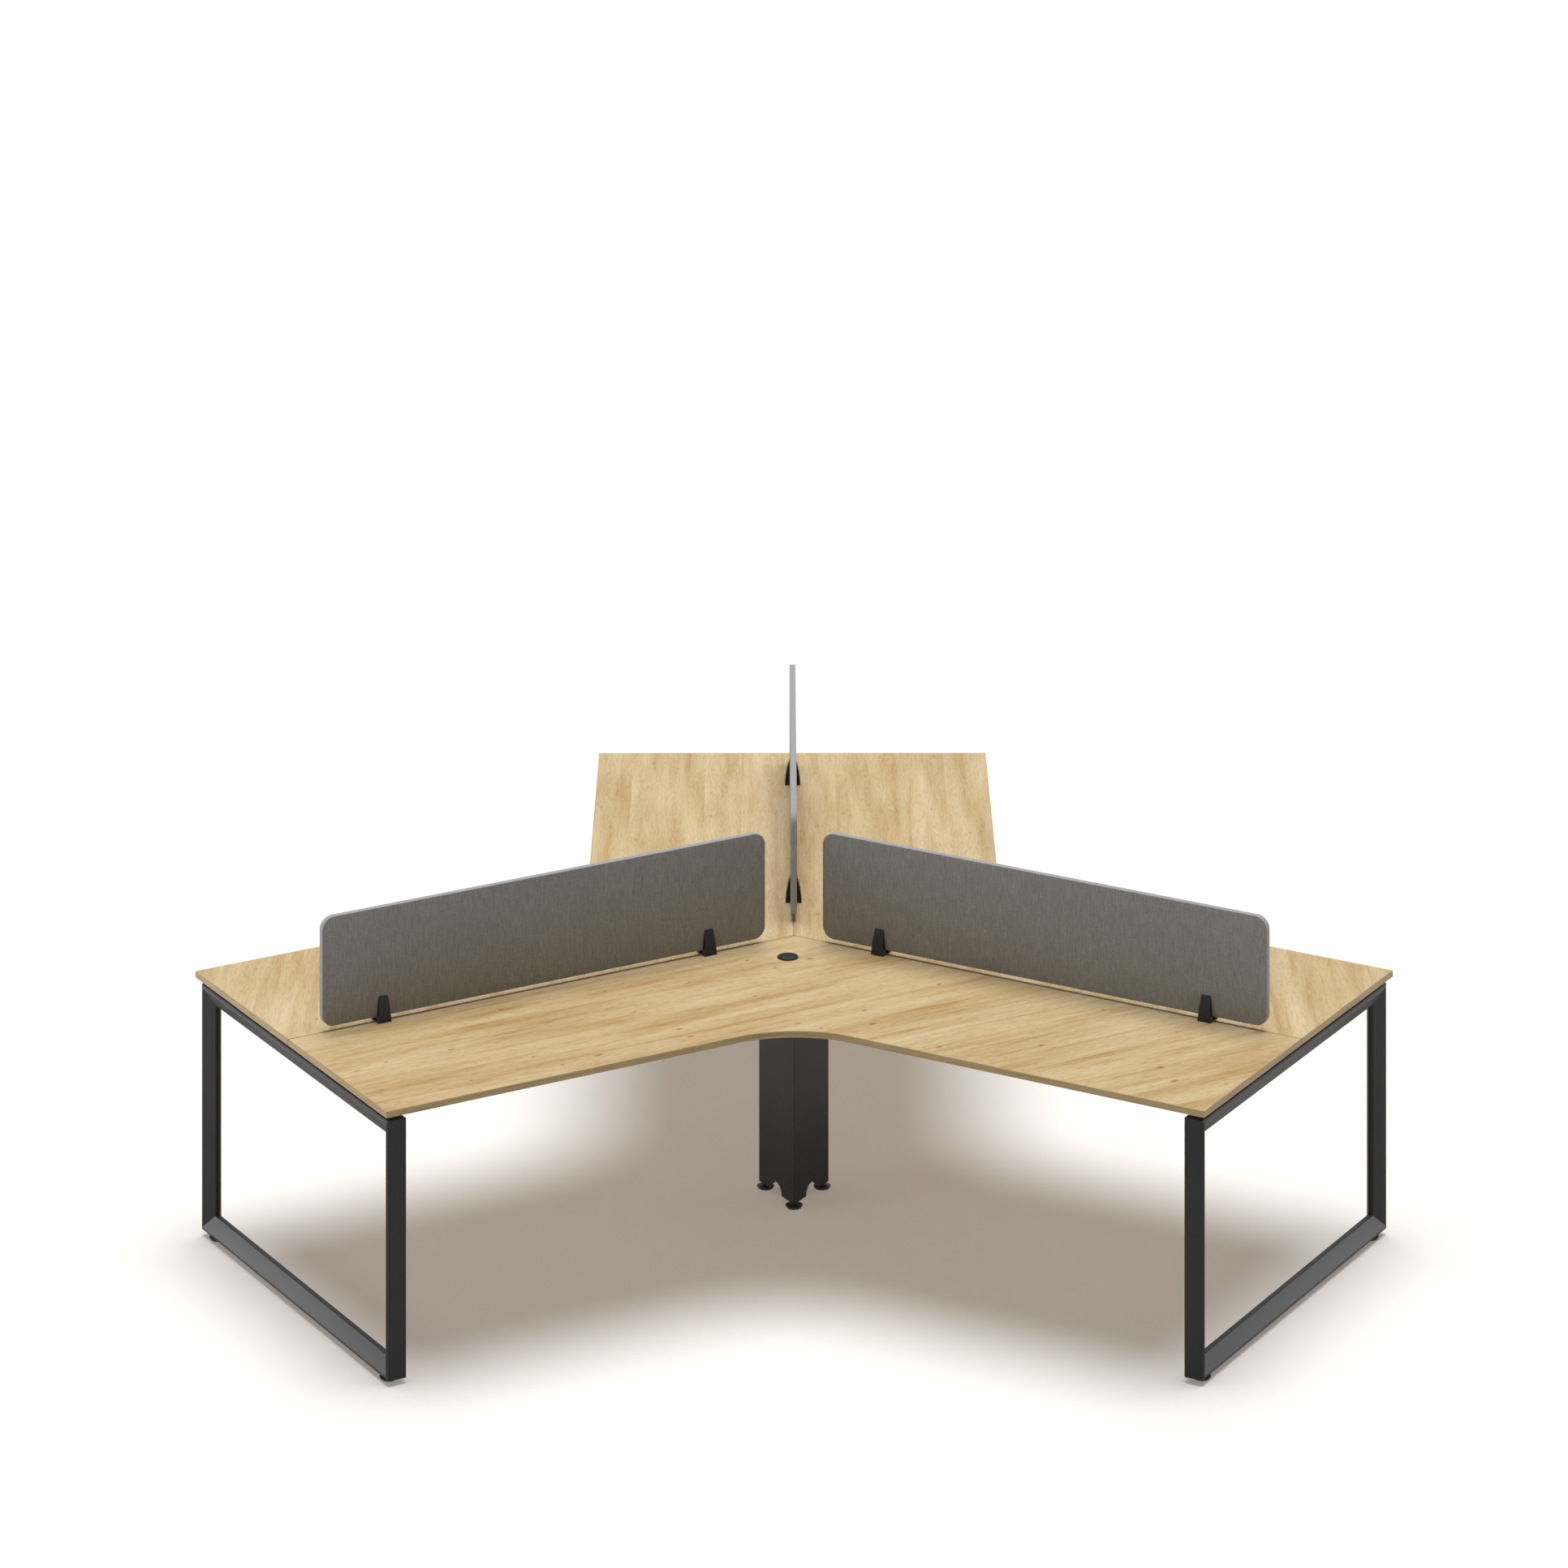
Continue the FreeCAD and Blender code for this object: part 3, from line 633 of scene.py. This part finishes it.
def make_post():
    """Folded post with its bends drawn crisp, as pressed thin sheet has them."""
    low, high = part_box("post_shell")
    # Each bend is scaled down about the corner where its two faces would meet
    front_corner = Vector(((low.x + high.x) / 2, low.y - POST_BEND, 0))
    half_width = (high.y - front_corner.y) / math.sqrt(3)
    rear_corners = [Vector((front_corner.x + side * half_width, high.y, 0)) for side in (-1, 1)]
    reach = POST_BEND * math.sqrt(3) + PICK_ROOM
    shrink = POST_SHARP_BEND / POST_BEND
    post = merged_copy("post_shell", "post_shell_folded")
    bpy.ops.mesh.select_mode(type="VERT")
    for corner in [front_corner, *rear_corners]:
        bpy.ops.mesh.select_all(action="DESELECT")
        form = bmesh.from_edit_mesh(post.data)
        for vert in form.verts:
            vert.select_set((vert.co.xy - corner.xy).length < reach)
        bmesh.update_edit_mesh(post.data)
        bpy.ops.transform.resize(value=(shrink, shrink, 1), center_override=corner)
    close_even(post)
    wear(post, matt_coat)
    settle(post, MAIN_BODY, "post_shell")


# Sizes of rounded edges, and how many faces each takes
TUBE_BEND = 1.5 * MM
TUBE_BEND_STEPS = 2
JAW_EDGE = 0.7 * MM
JAW_EDGE_STEPS = 2
JAW_TIP_CORNER = 3 * MM
JAW_TIP_STEPS = 5
BAND_EDGE = 1 * MM
BAND_EDGE_STEPS = 3
# The edges at both ends of a jaw's tip are shorter than this
JAW_TIP_DEPTH = 2 * MM
# Faces that turn by more than this meet in an edge, and heights nearer than this are level
EDGE_TURN = math.radians(30)
LEVEL_ROOM = 1 * MM


def is_outer(edge, board):
    """True for a band's level edges that stand clear of its board, so not for those at the glue line."""
    first, last = (vert.co for vert in edge.verts)
    point = (first + last) / 2
    nearest = board.closest_point_on_mesh(point)[1]
    level = abs(first.z - last.z) < LEVEL_ROOM
    clear = (nearest - point).length > BAND_EDGE
    return level and clear and edge.calc_face_angle(0) > EDGE_TURN


def is_tip_corner(edge, tip):
    """True for the short edges at both ends of a jaw's tip."""
    return min(vert.co.z for vert in edge.verts) > tip and edge.calc_length() < JAW_TIP_DEPTH


def make_softened():
    """Pieces whose CAD form is right, with the small radius that their edges have."""
    for tube in TUBES:
        low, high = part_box(tube)
        half = (high - low).length / 2
        piece = softened_copy(
            tube, (lambda edge: edge.is_convex and edge.calc_length() > half, TUBE_BEND, TUBE_BEND_STEPS))
        settle(piece, MAIN_BODY, tube)
    for arm in ARMS:
        node = f"clamp_jaws_{arm}"
        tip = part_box(node)[1].z - LEVEL_ROOM
        jaws = softened_copy(
            node, (lambda edge: is_tip_corner(edge, tip), JAW_TIP_CORNER, JAW_TIP_STEPS),
            (lambda edge: edge.is_convex and edge.calc_face_angle(0) > EDGE_TURN, JAW_EDGE, JAW_EDGE_STEPS))
        settle(jaws, MAIN_BODY, node)
    for desk in DESKS:
        node = f"edge_band_{desk}"
        board = nodes[f"worktop_{desk}"]
        band = softened_copy(node, (lambda edge: is_outer(edge, board), BAND_EDGE, BAND_EDGE_STEPS))
        settle(band, MAIN_BODY, node)


# Width of the seams, and sizes of the strips in them
SEAM_GAP = 2 * MM
SEAM_STRIP_DEPTH = 6 * MM
SEAM_STRIP_DROP = 0.6 * MM
SEAM_STRIP_ROOM = 0.1 * MM
SEAM_STRIP_END = 4 * MM
SEAM_STRIP_EDGE = 0.3 * MM
SEAM_STRIP_STEPS = 2
# Length of a clamp's jaws along the seam
JAW_WIDTH = 40 * MM


def make_seam_strips():
    """Slim filler strips in the seams between the boards, with room for the clamps' blades."""
    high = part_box("edge_band_left")[1]
    top = high.z - SEAM_STRIP_DROP
    clamp_low, clamp_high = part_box("clamp_jaws_back")
    stops = [axis_point.y + SEAM_STRIP_END, clamp_low.y, clamp_low.y + JAW_WIDTH,
             clamp_high.y - JAW_WIDTH, clamp_high.y, high.y - SEAM_STRIP_END]
    width = SEAM_GAP - 2 * SEAM_STRIP_ROOM
    for number, (start, end) in enumerate(zip(stops[::2], stops[1::2]), 1):
        middle_point = (axis_point.x, (start + end) / 2, top - SEAM_STRIP_DEPTH / 2)
        bpy.ops.object.select_all(action="DESELECT")
        bpy.ops.mesh.primitive_cube_add(size=1, location=middle_point)
        form = bpy.context.object
        form.scale = (width, end - start, SEAM_STRIP_DEPTH)
        bpy.ops.object.transform_apply(location=True, rotation=False, scale=True)
        edit(form)
        pick_edges(form, lambda edge: min(vert.co.z for vert in edge.verts) > top - SEAM_STRIP_DEPTH / 2)
        bpy.ops.mesh.bevel(offset=SEAM_STRIP_EDGE, segments=SEAM_STRIP_STEPS, affect="EDGES")
        close_edit()
        for arm in ARMS:
            strip = placed_copy(form, f"seam_strip_{arm}_{number}", arm_turn(arm))
            wear(strip, edging)
            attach(strip, MAIN_BODY)
        bpy.data.objects.remove(form)


make_screens()
make_seam_strips()
make_feet()
make_grommets()
make_softened()
make_post()


# Stage: floor, light and camera


FLOOR_SIZE = 120
FLOOR_TONE = "#E4E2DF"
FLOOR_GLOW = "#FFF0E0"
FLOOR_GLOW_SHARE = 0.235
WHITE = "#FFFFFF"


def make_floor():
    """Wide white floor that keeps the cluster's shadow, with a faint glow so that the shadow stays light."""
    bpy.ops.object.select_all(action="DESELECT")
    bpy.ops.mesh.primitive_plane_add(size=FLOOR_SIZE)
    floor = bpy.context.object
    floor.name = "floor"
    material, tree, shader = start_material("white_floor", Roughness=1.0, Specular_IOR_Level=0.0)
    seen = seen_directly(tree)
    tone = add(tree, "ShaderNodeMix", {0: seen, 6: linear(FLOOR_TONE), 7: linear(WHITE)},
               data_type="RGBA")[2]
    tree.links.new(tone, shader.inputs["Base Color"])
    share = add(tree, "ShaderNodeMath", {0: seen, 1: FLOOR_GLOW_SHARE}, operation="MULTIPLY")[0]
    glow = add(tree, "ShaderNodeEmission", {"Color": linear(FLOOR_GLOW), "Strength": 1.0})[0]
    surface = add(tree, "ShaderNodeMixShader", {0: share, 1: shader.outputs[0], 2: glow})[0]
    tree.links.new(surface, tree.nodes["Material Output"].inputs["Surface"])
    floor.data.materials.append(material)


WORLD_TONE = "#626263"
SUN_STRENGTH = 3.0
SUN_WIDTH = math.radians(42)
# The light from above leans a little from behind and from the right
SUN_TURN = (math.radians(-4), math.radians(2), 0)
# A soft box far out at the left lights the edges and the cloth that face it
FILL_PLACE = Vector((-8.2, -3.0, 1.5))
FILL_TARGET = Vector((0.0, -0.5, 0.5))
FILL_SIZE = (4.0, 2.5)
FILL_WATTS = 120
# Low cards, where the camera sees the bottom rails' sloped faces mirror them, show only as their shine
CARD_SIZE = (2.0, 0.48)
CARD_WAYS = {"left": Vector((-0.88, 0.45, 0.07)), "right": Vector((0.88, 0.45, 0.07))}
CARD_DISTANCE = 3.2
CARD_WATTS = {"left": 74, "right": 54}


def add_box_light(name, place, aim, size, watts):
    """Flat rectangular light that the camera doesn't see."""
    bpy.ops.object.light_add(type="AREA", location=place, rotation=aim.to_track_quat("-Z", "Y").to_euler())
    box = bpy.context.object
    box.name = name
    box.data.shape = "RECTANGLE"
    box.data.size, box.data.size_y = size
    box.data.energy = watts
    box.visible_camera = False
    return box


def make_light():
    """Soft light from above, a weak glow from all round, a fill at the left and cards low at both sides."""
    world = bpy.data.worlds.new("studio")
    bpy.context.scene.world = world
    world.use_nodes = True
    tree = world.node_tree
    tone = add(tree, "ShaderNodeMix", {0: seen_directly(tree), 6: linear(WORLD_TONE), 7: linear(WHITE)},
               data_type="RGBA")[2]
    tree.links.new(tone, tree.nodes["Background"].inputs["Color"])
    bpy.ops.object.light_add(type="SUN", rotation=SUN_TURN)
    sun = bpy.context.object
    sun.data.energy = SUN_STRENGTH
    sun.data.angle = SUN_WIDTH
    fill = add_box_light("fill_box", FILL_PLACE, FILL_TARGET - FILL_PLACE, FILL_SIZE, FILL_WATTS)
    fill.visible_glossy = False
    for arm, way in CARD_WAYS.items():
        place = middle(f"{arm}_frame_bottom_rail") + way * CARD_DISTANCE
        card = add_box_light(f"low_card_{arm}", place, -ARM_WAYS[arm], CARD_SIZE, CARD_WATTS[arm])
        card.visible_diffuse = False


# The photo keeps uprights parallel, as a view camera with its back upright does
CAMERA_PLACE = Vector((-0.0558, -18.5429, 7.2625))
CAMERA_YAW = 0.0015
CAMERA_DECLINE = math.radians(18.31)
CAMERA_LENS_MM = 155.67
CAMERA_REACH = 200


def make_camera():
    """Camera whose picture stays upright while its axis looks down at the desks.

    A rig that is scaled unevenly, with the camera turned by an eighth in it, slants the camera's axis
    against its picture.
    """
    up_to_back = math.pi / 2 - CAMERA_DECLINE
    rig = bpy.data.objects.new("camera_rig", None)
    bpy.context.scene.collection.objects.link(rig)
    rig.location = CAMERA_PLACE
    rig.rotation_euler = (math.pi / 2 + up_to_back / 2, 0, -CAMERA_YAW)
    rig.scale = (1, math.sqrt(2) * math.cos(up_to_back / 2), math.sqrt(2) * math.sin(up_to_back / 2))
    data = bpy.data.cameras.new("camera")
    data.lens = CAMERA_LENS_MM
    data.clip_end = CAMERA_REACH
    camera = bpy.data.objects.new("camera", data)
    bpy.context.scene.collection.objects.link(camera)
    camera.parent = rig
    camera.rotation_euler = (-math.pi / 4, 0, 0)
    bpy.context.scene.camera = camera


make_floor()
make_light()
make_camera()
bpy.context.scene.view_settings.view_transform = "Standard"
